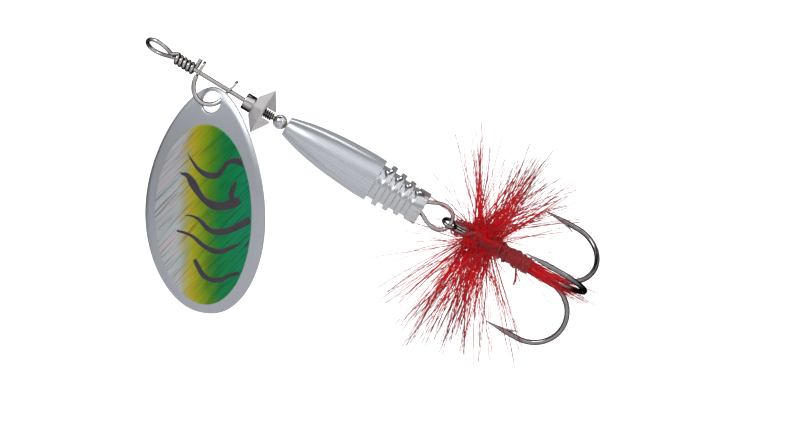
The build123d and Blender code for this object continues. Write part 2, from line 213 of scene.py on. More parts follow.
def merge(parts):
    """Joins a list of (verts, faces, uvs) into one."""
    verts, faces, uvs, base = [], [], [], 0
    for part_verts, part_faces, part_uvs in parts:
        verts.append(part_verts)
        faces += [tuple(i + base for i in face) for face in part_faces]
        uvs.append(part_uvs)
        base += len(part_verts)
    return np.concatenate(verts), faces, np.concatenate(uvs)


def smooth_path(points, steps):
    """Smooth curve through the given points, with an even number of steps between each two."""
    p = [np.asarray(point, float) for point in points]
    p = [2 * p[0] - p[1]] + p + [2 * p[-1] - p[-2]]
    out = []
    for a, b, c, d in zip(p, p[1:], p[2:], p[3:]):
        square = 2 * a - 5 * b + 4 * c - d
        cube = 3 * b - a - 3 * c + d
        for step in range(steps):
            t = step / steps
            out.append(0.5 * (2 * b + (c - a) * t + square * t**2 + cube * t**3))
    out.append(p[-2])
    return np.array(out)


def rounded(profile, radius, steps):
    """Rounds the corners of an open (x, r) profile, apart from its ends and its gentle turns."""
    straight = math.radians(165)
    out = [profile[0]]
    for before, corner, after in zip(profile, profile[1:], profile[2:]):
        corner = np.array(corner, float)
        back, on = np.array(before, float) - corner, np.array(after, float) - corner
        back_long, on_long = np.linalg.norm(back), np.linalg.norm(on)
        turn = math.acos(max(-1, min(1, float(back @ on / back_long / on_long))))
        if turn > straight:
            out.append(tuple(corner))
            continue
        cut = min(radius, back_long * 0.45, on_long * 0.45)
        start, stop = corner + back / back_long * cut, corner + on / on_long * cut
        for step in range(steps + 1):
            t = step / steps
            out.append(tuple(start * (1 - t) ** 2 + 2 * corner * t * (1 - t) + stop * t**2))
    out.append(profile[-1])
    return out


# ------------------------------------------------------------------ materials
def grey(value):
    """A colour with the same value in each channel."""
    return (value,) * 3


class Nodes:
    """Short way to build a material's node tree."""

    def __init__(self, name):
        self.material = bpy.data.materials.new(name)
        self.material.use_nodes = True
        self.tree = self.material.node_tree
        self.shader = self.tree.nodes["Principled BSDF"]

    def add(self, kind, **settings):
        node = self.tree.nodes.new(kind)
        for key, value in settings.items():
            setattr(node, key, value)
        return node

    def join(self, a, b):
        self.tree.links.new(a, b)

    def feed(self, output, key):
        """Joins an output to one of the shader's inputs."""
        self.join(output, self.shader.inputs[key])

    def set(self, **inputs):
        """Sets the shader's inputs, with _ for each space in a name."""
        for key, value in inputs.items():
            self.shader.inputs[key.replace("_", " ")].default_value = value

    def source(self, kind):
        """Object, UV or Normal coordinates."""
        return self.add("ShaderNodeTexCoord").outputs[kind]

    def mapped(self, vector, key, value):
        """A vector with its Scale or its Rotation changed."""
        node = self.add("ShaderNodeMapping")
        node.inputs[key].default_value = value
        self.join(vector, node.inputs["Vector"])
        return node.outputs["Vector"]

    def turned(self, vector, degrees, scale):
        """Turns a vector about Z, then stretches it."""
        vector = self.mapped(vector, "Rotation", (0, 0, math.radians(degrees)))
        return self.mapped(vector, "Scale", scale)

    def axis(self, vector, name):
        """The X, Y or Z of a vector."""
        node = self.add("ShaderNodeSeparateXYZ")
        self.join(vector, node.inputs["Vector"])
        return node.outputs[name]

    def noise(self, vector, detail):
        node = self.add("ShaderNodeTexNoise")
        node.inputs["Scale"].default_value = 1.0
        node.inputs["Detail"].default_value = detail
        self.join(vector, node.inputs["Vector"])
        return node.outputs["Fac"]

    def ramp(self, factor, stops):
        """Colour by a factor, from a list of (place, colour)."""
        node = self.add("ShaderNodeValToRGB")
        band = node.color_ramp
        while len(band.elements) < len(stops):
            band.elements.new(0.5)
        for element, (where, colour) in zip(band.elements, stops):
            element.position = where
            element.color = (*colour, 1)
        self.join(factor, node.inputs["Fac"])
        return node.outputs["Color"]

    def multiply(self, a, b, factor):
        """Multiplies a colour by another, as far as the factor says."""
        node = self.add("ShaderNodeMix", data_type="RGBA", blend_type="MULTIPLY")
        node.inputs["Factor"].default_value = factor
        self.join(a, node.inputs["A"])
        self.join(b, node.inputs["B"])
        return node.outputs["Result"]

    def weighted(self, value, weight, base):
        """A value times its weight, added to a base value."""
        node = self.add("ShaderNodeMath", operation="MULTIPLY_ADD")
        self.join(value, node.inputs[0])
        node.inputs[1].default_value = weight
        self.join(base, node.inputs[2])
        return node.outputs[0]

    def bump(self, height, distance, strength=1.0):
        node = self.add("ShaderNodeBump")
        node.inputs["Strength"].default_value = strength
        node.inputs["Distance"].default_value = distance
        self.join(height, node.inputs["Height"])
        self.feed(node.outputs["Normal"], "Normal")


def metal(name, colour, roughness, grain, microns, spread, edge=1.0, flank_shade=1.0, **finish):
    """Metal with a fine grain that varies its tone, its polish and its surface.

    The grain is a scale in UV for streaks, or one number per metre for specks. The spread is how far
    the tone varies. The edge is how bright the metal is at a grazing angle. The flank shade is painted
    shade: how much of its colour is left on the faces that look up, down or sideways.
    """
    look = Nodes(name)
    look.set(Metallic=1.0, Base_Color=(*colour, 1), Specular_Tint=(*grey(edge), 1))
    look.set(**finish)
    if isinstance(grain, tuple):
        vector = look.mapped(look.source("UV"), "Scale", grain)
    else:
        vector = look.mapped(look.source("Object"), "Scale", grey(grain))
    grain = look.noise(vector, 5.0)
    dark = tuple(channel * (1 - spread * 2) for channel in colour)
    tone = look.ramp(grain, [(0.3, dark), (0.7, colour)])
    if flank_shade < 1.0:
        # painted shade, a shortcut for edges that look dark from the front: it darkens the faces that look
        # up, down or sideways in the part's own frame, so it turns with the part and shows from other sides
        facing = look.add("ShaderNodeMath", operation="ABSOLUTE")
        look.join(look.axis(look.source("Normal"), "Y"), facing.inputs[0])
        painted_shade = look.ramp(facing.outputs["Value"], [(0.62, grey(flank_shade)), (0.94, grey(1.0))])
        tone = look.multiply(tone, painted_shade, 1.0)
    look.feed(tone, "Base Color")
    polished, dull = max(roughness - 0.06, 0.02), roughness + 0.09
    look.feed(look.ramp(grain, [(0.25, grey(polished)), (0.75, grey(dull))]), "Roughness")
    if microns:
        look.bump(grain, microns * MICRON)
    return look.material


# plated and drawn parts, specked
# the nickel, wire and hook metals also have painted shade on the faces that look up, down or sideways
CHROME = metal("polished_nickel", (0.95, 0.91, 0.89), 0.07, 2500, 2, 0.05, edge=0.0, flank_shade=0.03)
WIRE = metal("bright_stainless", (0.90, 0.85, 0.82), 0.08, 1800, 3, 0.08, edge=0.0, flank_shade=0.16)
HOOK = metal("black_nickel_plate", (0.55, 0.53, 0.545), 0.06, 1400, 3, 0.14, edge=0.0, flank_shade=0.10)
MIRROR = metal("mirror_chrome", (0.88, 0.88, 0.9), 0.05, 900, 0, 0.02)
HUB = metal("pressed_bright_sheet", (1.0, 0.965, 0.955), 0.30, 700, 6, 0.05, Metallic=0.4)
BRASS = metal("drawn_brass", (0.72, 0.56, 0.28), 0.3, 600, 4, 0.1)
BRAZE = metal("dull_braze", (0.34, 0.28, 0.2), 0.45, 1500, 20, 0.3)

# brushed and turned parts, streaked
SPRING = metal("oiled_spring_steel", (0.16, 0.14, 0.13), 0.28, (3, 6, 1), 4, 0.2)
BODY = metal("brushed_aluminium", (0.88, 0.91, 0.97), 0.24, (95, 0.06, 1), 7, 0.10, Metallic=0.6)
RIB = metal("turned_bright_aluminium", (0.93, 0.945, 0.98), 0.1, (40, 5, 1), 2, 0.08, Metallic=0.9)
SILVER = metal("brushed_silver_plate", (0.69, 0.72, 0.77), 0.32, (0.3, 22, 1), 2, 0.035)

# dark ink under the blade's lacquer
INK_FINISH = {"Metallic": 0.1, "Coat_Weight": 0.5, "Coat_Roughness": 0.15}
STRIPE = metal("printed_stripe", (0.050, 0.043, 0.055), 0.5, 900, 4, 0.2, **INK_FINISH)


def foil_material():
    """Printed foil: pearl on the left, then yellow, lime and green, with a diagonal hatch under lacquer."""
    look = Nodes("printed_foil")
    flat = look.source("UV")
    hatch_turn = -44
    hatch = look.noise(look.turned(flat, hatch_turn, (1.1, 30, 1)), 6.0)
    broad = look.noise(look.turned(flat, hatch_turn, (0.7, 7, 1)), 3.0)
    wobbly = look.weighted(hatch, 0.34, look.axis(flat, "X"))
    wobbly = look.weighted(broad, 0.36, wobbly)
    across = look.add("ShaderNodeMapRange")
    across.inputs["From Min"].default_value = -0.68
    across.inputs["From Max"].default_value = 1.32
    look.join(wobbly, across.inputs["Value"])
    print_colours = [
        (0.0, (0.74, 0.75, 0.79)),
        (0.27, (0.80, 0.80, 0.82)),
        (0.34, (0.70, 0.64, 0.26)),
        (0.41, (0.74, 0.62, 0.02)),
        (0.50, (0.40, 0.54, 0.01)),
        (0.60, (0.12, 0.38, 0.01)),
        (0.70, (0.0, 0.33, 0.07)),
        (1.0, (0.0, 0.36, 0.17)),
    ]
    tint = look.ramp(across.outputs["Result"], print_colours)
    shade = look.ramp(hatch, [(0.36, grey(0.34)), (0.46, grey(0.85)), (0.58, grey(1))])
    pearl = look.ramp(broad, [(0.36, (0.60, 0.84, 0.82)), (0.5, grey(1)), (0.62, (1.0, 0.80, 0.78))])
    colour = look.multiply(look.multiply(tint, shade, 0.68), pearl, 0.5)
    look.feed(colour, "Base Color")
    look.feed(look.ramp(hatch, [(0.3, grey(0.46)), (0.7, grey(0.26))]), "Roughness")
    look.set(Metallic=0.55, Specular_IOR_Level=0.2, Coat_Weight=0.35, Coat_Roughness=0.08)
    look.bump(hatch, 20 * MICRON, 0.6)
    return look.material


def thread_material():
    """Waxed red thread, with painted shade in the hollows between its fibres, where its grain is low."""
    look = Nodes("waxed_red_thread")
    grain = look.noise(look.mapped(look.source("UV"), "Scale", (2, 9, 1)), 4.0)
    red = look.ramp(grain, [(0.3, (0.30, 0.006, 0.012)), (0.7, (0.66, 0.022, 0.03))])
    look.feed(red, "Base Color")
    look.set(Roughness=0.5, Sheen_Weight=0.3, Coat_Weight=0.15)
    look.bump(grain, 20 * MICRON, 0.7)
    return look.material


def fibre_material():
    """Fibre: shade.r is how far along it is, shade.g its own dark tone, shade.b how solid it is."""
    look = Nodes("dyed_fibre")
    source = look.add("ShaderNodeVertexColor", layer_name="shade")
    parts = look.add("ShaderNodeSeparateColor")
    look.join(source.outputs["Color"], parts.inputs["Color"])
    root_to_tip = [
        (0.0, (0.42, 0.002, 0.006)),
        (0.3, (0.80, 0.004, 0.012)),
        (0.72, (0.62, 0.006, 0.016)),
        (0.9, (0.34, 0.02, 0.03)),
        (1.0, (0.16, 0.07, 0.08)),
    ]
    red = look.ramp(parts.outputs["Red"], root_to_tip)
    mix = look.add("ShaderNodeMix", data_type="RGBA")
    look.join(parts.outputs["Green"], mix.inputs["Factor"])
    look.join(red, mix.inputs["A"])
    mix.inputs["B"].default_value = (0.07, 0.05, 0.055, 1)
    look.feed(mix.outputs["Result"], "Base Color")
    # the fibres glow faintly in their own colour, painted light that stands in for light shining through them
    look.feed(mix.outputs["Result"], "Emission Color")
    look.feed(parts.outputs["Blue"], "Alpha")
    look.set(Roughness=0.5, Specular_IOR_Level=0.25, Emission_Strength=0.22)
    return look.material


FOIL = foil_material()
THREAD = thread_material()
FIBRE = fibre_material()


# ------------------------------------------------------------------ kept CAD nodes
def dress(node, material):
    """Keeps a CAD node and gives it a material."""
    obj = frame["nodes"][node]
    if not obj.material_slots:
        obj.data.materials.append(None)
    for place in obj.material_slots:
        place.link = "OBJECT"
        place.material = material


dress("shaft_wire", WIRE)
dress("hub_front_cup", HUB)
dress("hub_rear_cup", HUB)
dress("body_liner", BRASS)
dress("hook_braze", BRAZE)
dress("double_hook", HOOK)
dress("single_hook", HOOK)

# ------------------------------------------------------------------ blade
# the blade's own frame: X across it, Y up it and Z out of its front face
BLADE_LEAN, BLADE_TURN, BLADE_TILT = map(math.radians, (6.6, 30.0, 8.0))
fall = np.array([-math.sin(BLADE_LEAN), 0.0, -math.cos(BLADE_LEAN)])
level = np.array([math.cos(BLADE_LEAN), 0.0, -math.sin(BLADE_LEAN)])
BLADE_X = level * math.cos(BLADE_TURN) - FAR * math.sin(BLADE_TURN)
BLADE_Z = np.cross(fall, BLADE_X) * math.cos(BLADE_TILT) + fall * math.sin(BLADE_TILT)
BLADE_Y = np.cross(BLADE_Z, BLADE_X)

# sizes in that frame, from the centre of the foil
HOLE_Y = 17.05
HOLE_R = 1.6
BLADE_TOP, BLADE_LOW, BLADE_HALF = HOLE_Y + 2.2, HOLE_Y - 32.1, 10.65
SHEET = 0.5
EDGE_WIDTH, EDGE_DROP = 1.5, 0.16
DISH_R = 75.0
DISH_Y = (BLADE_TOP + BLADE_LOW) / 2
SKIN_Z = SHEET / 2 + DISH_R - math.sqrt(DISH_R**2 - (HOLE_Y - DISH_Y) ** 2)
HOLE_CENTRE = np.array(JOINTS["blade_swing"]["pos_m"]) / MM + at(-0.1, 0.1)
FOIL_CENTRE = HOLE_CENTRE - BLADE_Y * HOLE_Y
FOIL_HALF_X, FOIL_HALF_Y = 8.6, 13.65
FOIL_THICK = 0.05


def dish(x, y):
    """Height of the blade's front face at a flat position, in its own frame."""
    return SKIN_Z + np.sqrt(DISH_R**2 - x * x - (y - DISH_Y) ** 2) - DISH_R


def on_blade(x, y, lift=0.0):
    """Points of the blade's front face, or lifted off it, from flat positions."""
    outward = np.multiply.outer(dish(x, y) + lift, BLADE_Z)
    return FOIL_CENTRE + np.multiply.outer(x, BLADE_X) + np.multiply.outer(y, BLADE_Y) + outward


def egg(share):
    """Half width of the blade by the share of its length below its top."""
    return BLADE_HALF * np.maximum(np.sin(math.pi * share**1.23), 0) ** 0.44


def even_rim(count):
    """Points evenly spaced round the blade's outline, from its top."""
    share = (1 - np.cos(math.pi * np.linspace(0, 1, 400))) / 2
    side = np.stack([egg(share), BLADE_TOP - (BLADE_TOP - BLADE_LOW) * share], 1)
    outline = np.concatenate([side, side[::-1][1:] * (-1, 1)])
    run = run_along(outline)
    places = np.linspace(0, run[-1], count, endpoint=False)
    return np.stack([np.interp(places, run, outline[:, 0]), np.interp(places, run, outline[:, 1])], 1)


def blade_rings(reach):
    """Distance from the hole's centre and drop below the face, ring by ring round the sheet's section."""
    half = SHEET / 2
    inner, outer = HOLE_R + half, reach - half
    front, back = np.linspace(0, 1, 40), np.linspace(1, 0, 40)
    rings = []
    for share in front:
        dist = inner + (outer - inner) * share
        near_edge = np.clip(1 - (outer - dist) / EDGE_WIDTH, 0, 1)
        rings.append((dist, -EDGE_DROP * near_edge**2))
    for turn in np.radians(np.linspace(75, -80, 9)):
        rise = (half - EDGE_DROP / 2) * math.sin(turn)
        rings.append((outer + half * math.cos(turn), rise - half - EDGE_DROP / 2))
    for share in back:
        rings.append((inner + (outer - inner) * share, -SHEET))
    for turn in np.radians(np.linspace(-80, 80, 9)):
        rings.append((inner - half * math.cos(turn), half * math.sin(turn) - half))
    return rings


def blade_shape():
    """Dished sheet with a hole, a rolled hole edge and an edge that falls away, brushed on a diagonal."""
    rays, diagonal = 420, 0.7
    ray = even_rim(rays) - (0, HOLE_Y)
    reach = np.linalg.norm(ray, axis=1)
    heading = ray / reach[:, None]
    rings = blade_rings(reach)
    verts, uvs = [], []
    for dist, drop in rings:
        x, y = heading[:, 0] * dist, HOLE_Y + heading[:, 1] * dist
        verts.append(on_blade(x, y, drop))
        uvs.append(np.stack([(x + y) * diagonal, (y - x) * diagonal], 1))
    return np.concatenate(verts), grid_faces(len(rings), rays), np.concatenate(uvs)


def foil_shape():
    """Thin lacquered oval with a rolled edge, fanned from its centre."""
    sides = 240
    turns = circle(sides)
    levels = [(share, FOIL_THICK) for share in np.linspace(0.03, 0.985, 46)]
    levels += [(0.993, 0.045), (0.998, 0.03), (1.0, 0.0), (1.0, -0.08)]
    verts, uvs = [on_blade(np.zeros(1), np.zeros(1), FOIL_THICK)], [np.zeros((1, 2))]
    for share, lift in levels:
        x, y = FOIL_HALF_X * share * np.cos(turns), FOIL_HALF_Y * share * np.sin(turns)
        verts.append(on_blade(x, y, lift))
        uvs.append(np.stack([x, y], 1) / FOIL_HALF_X)
    faces = [(0, 1 + j, 1 + (j + 1) % sides) for j in range(sides)]
    faces += grid_faces(len(levels), sides, first=1, closed=False)
    return np.concatenate(verts), faces, np.concatenate(uvs)


# printed stripes: across and up the foil as shares of its half sizes, then the width in mm
STRIPES = [
    [
        (-0.348, 0.661, 0.06), (-0.254, 0.597, 0.36), (-0.106, 0.508, 0.66), (0.08, 0.455, 0.9),
        (0.282, 0.46, 0.96), (0.383, 0.525, 0.78), (0.474, 0.606, 0.66), (0.613, 0.641, 0.96),
        (0.756, 0.63, 1.14), (0.855, 0.597, 0.96),
    ],
    [
        (-0.473, 0.438, 0.24), (-0.322, 0.422, 0.78), (-0.216, 0.357, 1.44), (-0.067, 0.247, 1.08),
        (0.081, 0.171, 1.14), (0.266, 0.129, 1.32), (0.468, 0.133, 1.38), (0.647, 0.182, 1.56),
        (0.77, 0.217, 1.08),
    ],
    [
        (0.619, 0.175, 0.9), (0.596, 0.269, 0.9), (0.63, 0.35, 0.84), (0.674, 0.416, 0.24),
    ],
    [
        (-0.339, -0.018, 0.09), (-0.169, -0.02, 0.36), (-0.012, -0.057, 0.66), (0.144, -0.136, 0.9),
        (0.328, -0.166, 0.96), (0.568, -0.131, 1.02), (0.806, -0.055, 1.02), (0.979, 0.015, 1.14),
    ],
    [
        (-0.503, -0.204, 0.3), (-0.316, -0.217, 0.45), (-0.143, -0.252, 0.57), (0.023, -0.319, 0.78),
        (0.222, -0.372, 0.84), (0.424, -0.374, 0.81), (0.623, -0.317, 0.6), (0.789, -0.265, 0.15),
    ],
    [
        (-0.133, -0.499, 0.6), (-0.059, -0.58, 0.9), (0.041, -0.665, 0.9), (0.206, -0.707, 0.81),
        (0.407, -0.689, 0.72), (0.565, -0.637, 0.6), (0.764, -0.595, 0.6),
    ],
    [
        (0.865, -0.313, 0.09), (0.934, -0.263, 0.36), (0.995, -0.204, 0.42),
    ],
]
# the ink's section, from one edge to the other: share of the half width, then the height in mm
INK_SECTION = (
    (-1.0, 0.03), (-0.96, 0.068), (-0.5, 0.075), (0.0, 0.078), (0.5, 0.075), (0.96, 0.068), (1.0, 0.03),
)


def stripe_shape(stripe):
    """One printed stripe: a low ridge of ink that follows a curve and stays inside the foil."""
    narrowest, foil_share = 0.03, 0.985
    path = smooth_path([(u * FOIL_HALF_X, v * FOIL_HALF_Y, width) for u, v, width in stripe], 12)
    half_wide = np.maximum(path[:, 2], narrowest) / 2
    half_wide = half_wide * (1 + 0.05 * np.sin(np.linspace(0, 23, len(path))))
    along = np.gradient(path[:, :2], axis=0)
    along /= np.linalg.norm(along, axis=1)[:, None]
    across = np.stack([-along[:, 1], along[:, 0]], 1)
    rows = []
    for side, lift in INK_SECTION:
        p = path[:, :2] + across * (half_wide * side)[:, None]
        reach = np.sqrt((p[:, 0] / FOIL_HALF_X) ** 2 + (p[:, 1] / FOIL_HALF_Y) ** 2)
        p = p / np.maximum(reach / foil_share, 1)[:, None]
        rows.append(on_blade(p[:, 0], p[:, 1], lift))
    verts = np.concatenate(rows)
    faces = grid_faces(len(rows), len(path), closed=False, looped=False, flip=True)
    return verts, faces, np.zeros((len(verts), 2))


link("blade_shell", blade_shape(), SILVER, "blade", ["blade"])
link("foil_print", foil_shape(), FOIL, "blade", ["blade_foil"])
link("foil_stripes", merge([stripe_shape(stripe) for stripe in STRIPES]), STRIPE, "blade")

# ------------------------------------------------------------------ clevis
BOW_R = 0.34
EAR_THICK, EAR_WIDE, EAR_TALL = 0.4, 1.5, 2.75
EAR_UP = 0.5
EAR_TRIM = 0.16
EAR_BEVEL = 0.07
EAR_HOLE_R = 0.405
REAR_EAR_LEAN = -math.tan(math.radians(12))
front_x, rear_x = span("clevis")[0] + BOW_R, 11.8


def bow_shape():
    """Round wire bent in half an oval, from the front ear down through the blade's hole to the rear ear."""
    top, low = -0.6, (cad_points("clevis") @ UP).min() + BOW_R
    mid, half = (front_x + rear_x) / 2, (rear_x - front_x) / 2
    turns = np.linspace(0, math.pi, 70)
    path = [at(mid - half * math.cos(turn), top - (top - low) * math.sin(turn)) for turn in turns]
    return tube(path, BOW_R, 24)


def ear_shape(x, lean):
    """A flat rounded ear with a hole for the shaft, bevelled round its edge and its hole."""
    sides = 64
    half_wide, half_tall, reach = EAR_WIDE / 2, 1.4, (EAR_TALL - EAR_WIDE) / 2
    rise = 0.03
    outline = []
    for turn in circle(sides):
        centre = reach if math.sin(turn) >= 0 else EAR_TRIM - reach
        outline.append((half_wide * math.cos(turn), half_wide * math.sin(turn) + centre + EAR_UP))
    edge = 0.5 - EAR_BEVEL / EAR_THICK
    rows = []
    for shift, inset in ((-0.5, EAR_BEVEL), (-edge, 0), (edge, 0), (0.5, EAR_BEVEL)):
        narrow, short = 1 - inset / half_wide, 1 - inset / half_tall
        rows.append([
            at(x + shift * EAR_THICK - lean * up, up * short + rise, side * narrow)
            for side, up in outline
        ])
    for shift, radius in ((0.5, 0.46), (0.42, EAR_HOLE_R), (-0.42, EAR_HOLE_R), (-0.5, 0.46)):
        hole = [(radius * math.cos(turn), radius * math.sin(turn)) for turn in circle(sides)]
        rows.append([at(x + shift * EAR_THICK - lean * up, up, side) for side, up in hole])
    verts = np.array(rows).reshape(-1, 3)
    return verts, grid_faces(len(rows), sides, flip=True), np.zeros((len(verts), 2))


clevis_parts = [bow_shape(), ear_shape(front_x, 0.0), ear_shape(rear_x, REAR_EAR_LEAN)]
link("clevis_bent", merge(clevis_parts), CHROME, "clevis", ["clevis"])

# ------------------------------------------------------------------ hub, bead and body
BORE_R = 0.40


def collar_shape():
    """Turned collar with a narrower spigot at its rear end."""
    start, stop, radius = span("hub_collar")
    spigot_start, spigot_r = stop - 0.6, 0.75
    profile = [
        (start, BORE_R),
        (start, radius),
        (spigot_start, radius),
        (spigot_start, spigot_r),
        (stop, spigot_r),
        (stop, BORE_R),
        (start, BORE_R),
    ]
    return lathe(rounded(profile, 0.16, 4), 72)


def spring_shape():
    """Close helix of round wire."""
    start, stop, radius = span("hub_spring")
    wire_r, turns, steps = 0.12, 6.6, 260
    coil_r, coil_long = radius - wire_r, stop - start - 2 * wire_r
    coil = []
    for share in np.linspace(0, 1, steps):
        turn = 2 * math.pi * turns * share
        coil.append(at(start + wire_r + coil_long * share, coil_r * math.sin(turn), coil_r * math.cos(turn)))
    return tube(coil, wire_r, 12)


def bead_shape():
    """Ball with a bore through it."""
    start, stop, radius = span("ball_bead")
    centre, lip = (start + stop) / 2, 0.02
    mouth = math.asin(BORE_R / radius)
    turns = np.linspace(math.pi - mouth, mouth, 48)
    ring = [(centre + radius * math.cos(turn), radius * math.sin(turn)) for turn in turns]
    ring += [(stop - lip, BORE_R), (start + lip, BORE_R)]
    return lathe(ring, 80)


# the body's stations are measured from its front end, and its radii are for a widest radius of 3.43 mm
BODY_WIDEST = 3.43
NOSE_CURVE = [(0.0, 1.5), (3.3, 2.36), (6.6, 2.92), (10.0, 3.25), (13.53, BODY_WIDEST), (15.73, 3.40)]
NOSE_BORE_R, NOSE_LIP_R = 0.78, 1.40
GROOVE_START, GROOVE_R, GROOVE_STEP = 15.78, 2.72, 0.12
RIB_COUNT, RIB_START, RIB_PITCH, RIB_LONG = 3, 16.78, 1.77, 0.92
RIB_R, RIB_STEP = 3.37, 0.24
TAIL_GROOVE = [(21.24, 2.36), (22.08, 2.36)]
TAIL_RIB = [(22.08, 2.67), (24.0, 2.67)]
TAIL_BORE = [(24.0, 1.8), (20.88, 1.8), (20.88, NOSE_BORE_R)]


def body_shape():
    """Turned body: a long curved nose, three ribs that step down, a tail rib and its bore."""
    start, _, radius = span("body")
    outer = [(0.0, NOSE_BORE_R), (0.0, NOSE_LIP_R)]
    outer += [(float(x), float(r)) for x, r in smooth_path(NOSE_CURVE, 12) if x > 0.05]
    groove_start = GROOVE_START
    for i in range(RIB_COUNT):
        rib_start = RIB_START + RIB_PITCH * i
        groove_r, rib_r = GROOVE_R - GROOVE_STEP * i, RIB_R - RIB_STEP * i
        outer += [(groove_start, groove_r), (rib_start, groove_r), (rib_start, rib_r)]
        groove_start = rib_start + RIB_LONG
        outer.append((groove_start, rib_r))
    clean = [outer[0]]
    for point in outer[1:] + TAIL_GROOVE + TAIL_RIB + TAIL_BORE:
        if math.dist(point, clean[-1]) > 0.02:
            clean.append(point)
    return lathe([(start + x, r * radius / BODY_WIDEST) for x, r in rounded(clean, 0.16, 3)], 144)


link("collar_turned", collar_shape(), CHROME, "hub", ["hub_collar"])
link("spring_coil", spring_shape(), SPRING, "hub", ["hub_spring"])
link("bead_ball", bead_shape(), MIRROR, "bead", ["ball_bead"])
body = link("body_turned", body_shape(), BODY, "body", ["body"])

# the ribs behind the nose are turned brighter than the nose is brushed
body.data.materials.append(RIB)
face_x = np.array([face.center[:] for face in body.data.polygons]) @ ALONG / MM - span("body")[0]
body.data.polygons.foreach_set("material_index", (face_x > 15.74).astype(int))

# ------------------------------------------------------------------ thread
shank_start, shank_stop, _ = span("shank_thread", TREBLE_ORIGIN, TREBLE_ALONG)
root_start = span("root_thread", TREBLE_ORIGIN, TREBLE_ALONG)[0]
collar_start, collar_stop, _ = span("hackle_collar", TREBLE_ORIGIN, TREBLE_ALONG)


def winding(start, stop, low, high, pitch, radius, wander, phase=0.0):
    """One thread wound round the treble's shanks, that sinks into the three hollows between them."""
    steps_a_turn, smoothing = 22, 9
    hollow_deep, hollow_turn, lift = 0.10, 40, 0.35
    turns = abs(stop - start) / pitch
    steps = int(turns * steps_a_turn)
    drift = np.convolve(ARRAY_RNG.normal(0, 1, steps), np.ones(smoothing) / smoothing, "same")
    points = []
    for i in range(steps):
        t = i / (steps - 1)
        angle = 360 * turns * t + phase
        hollow = 0.5 + 0.5 * math.cos(math.radians(3 * angle + hollow_turn))
        swell = 0.5 + 0.5 * math.sin(9 * t + phase)
        out = low + (high - low) * swell - hollow_deep * hollow + lift * wander * abs(drift[i])
        points.append(hook_at(start + (stop - start) * t + wander * drift[i], out, angle))
    return tube(points, radius, 6)


def strap(first, second, thick):
    """Four strands of thread twisted together, from the eye over the collar, between two angles."""
    path = smooth_path([
        hook_at(0.55, 1.0, first),
        hook_at(1.7, 1.15, first + 15),
        hook_at(2.9, 1.35, (first + second) / 2),
        hook_at(4.3, 1.75, second),
        hook_at(5.6, 1.5, second + 20),
    ], 8)
    radii = np.linspace(0.05, thick * 0.42, len(path))
    strands = []
    for strand in range(4):
        turn = np.linspace(0, 7, len(path)) + strand * math.pi / 2
        shift = np.cos(turn)[:, None] * TREBLE_UP + np.sin(turn)[:, None] * FAR
        strands.append(tube(path + shift * thick * 0.5, radii, 8))
    return strands


# each winding: start, stop, lowest and highest distance out, pitch, thread radius and wander
shank_wraps = [
    winding(shank_start, shank_stop, 0.98, 1.12, 0.19, 0.115, 0.06),
    winding(collar_stop - 0.4, shank_stop - 0.2, 1.12, 1.24, 0.6, 0.12, 0.5, phase=70),
    winding(shank_stop - 0.3, collar_stop, 1.14, 1.32, 1.7, 0.13, 0.6, phase=200),
    winding(collar_stop - 0.6, shank_stop - 1.0, 1.2, 1.36, 3.1, 0.15, 0.7, phase=20),
    winding(shank_stop - 0.9, collar_stop + 0.4, 1.2, 1.34, 4.6, 0.12, 0.8, phase=290),
    winding(shank_stop - 1.4, shank_stop, 1.16, 1.32, 0.4, 0.12, 0.25, phase=120),
]
link("thread_winding", merge(shank_wraps), THREAD, "treble", ["shank_thread"])

root_wraps = [
    winding(root_start, collar_start + 0.6, 1.2, 1.34, 0.2, 0.12, 0.08),
    winding(collar_start + 0.4, root_start + 0.2, 1.42, 1.6, 0.42, 0.11, 0.2, phase=60),
    winding(root_start + 0.3, collar_stop, 1.5, 1.8, 1.3, 0.10, 0.3, phase=150),
    winding(collar_start, collar_stop, 1.25, 1.5, 0.22, 0.13, 0.2, phase=300),
]
for first, second, thick in ((60, 100, 0.40), (235, 160, 0.42), (130, 140, 0.3)):
    root_wraps += strap(first, second, thick)
link("thread_root", merge(root_wraps), THREAD, "treble", ["root_thread"])


# ------------------------------------------------------------------ fibres
def unit(v):
    """Vectors at a length of one."""
    return v / np.linalg.norm(v, axis=-1, keepdims=True)


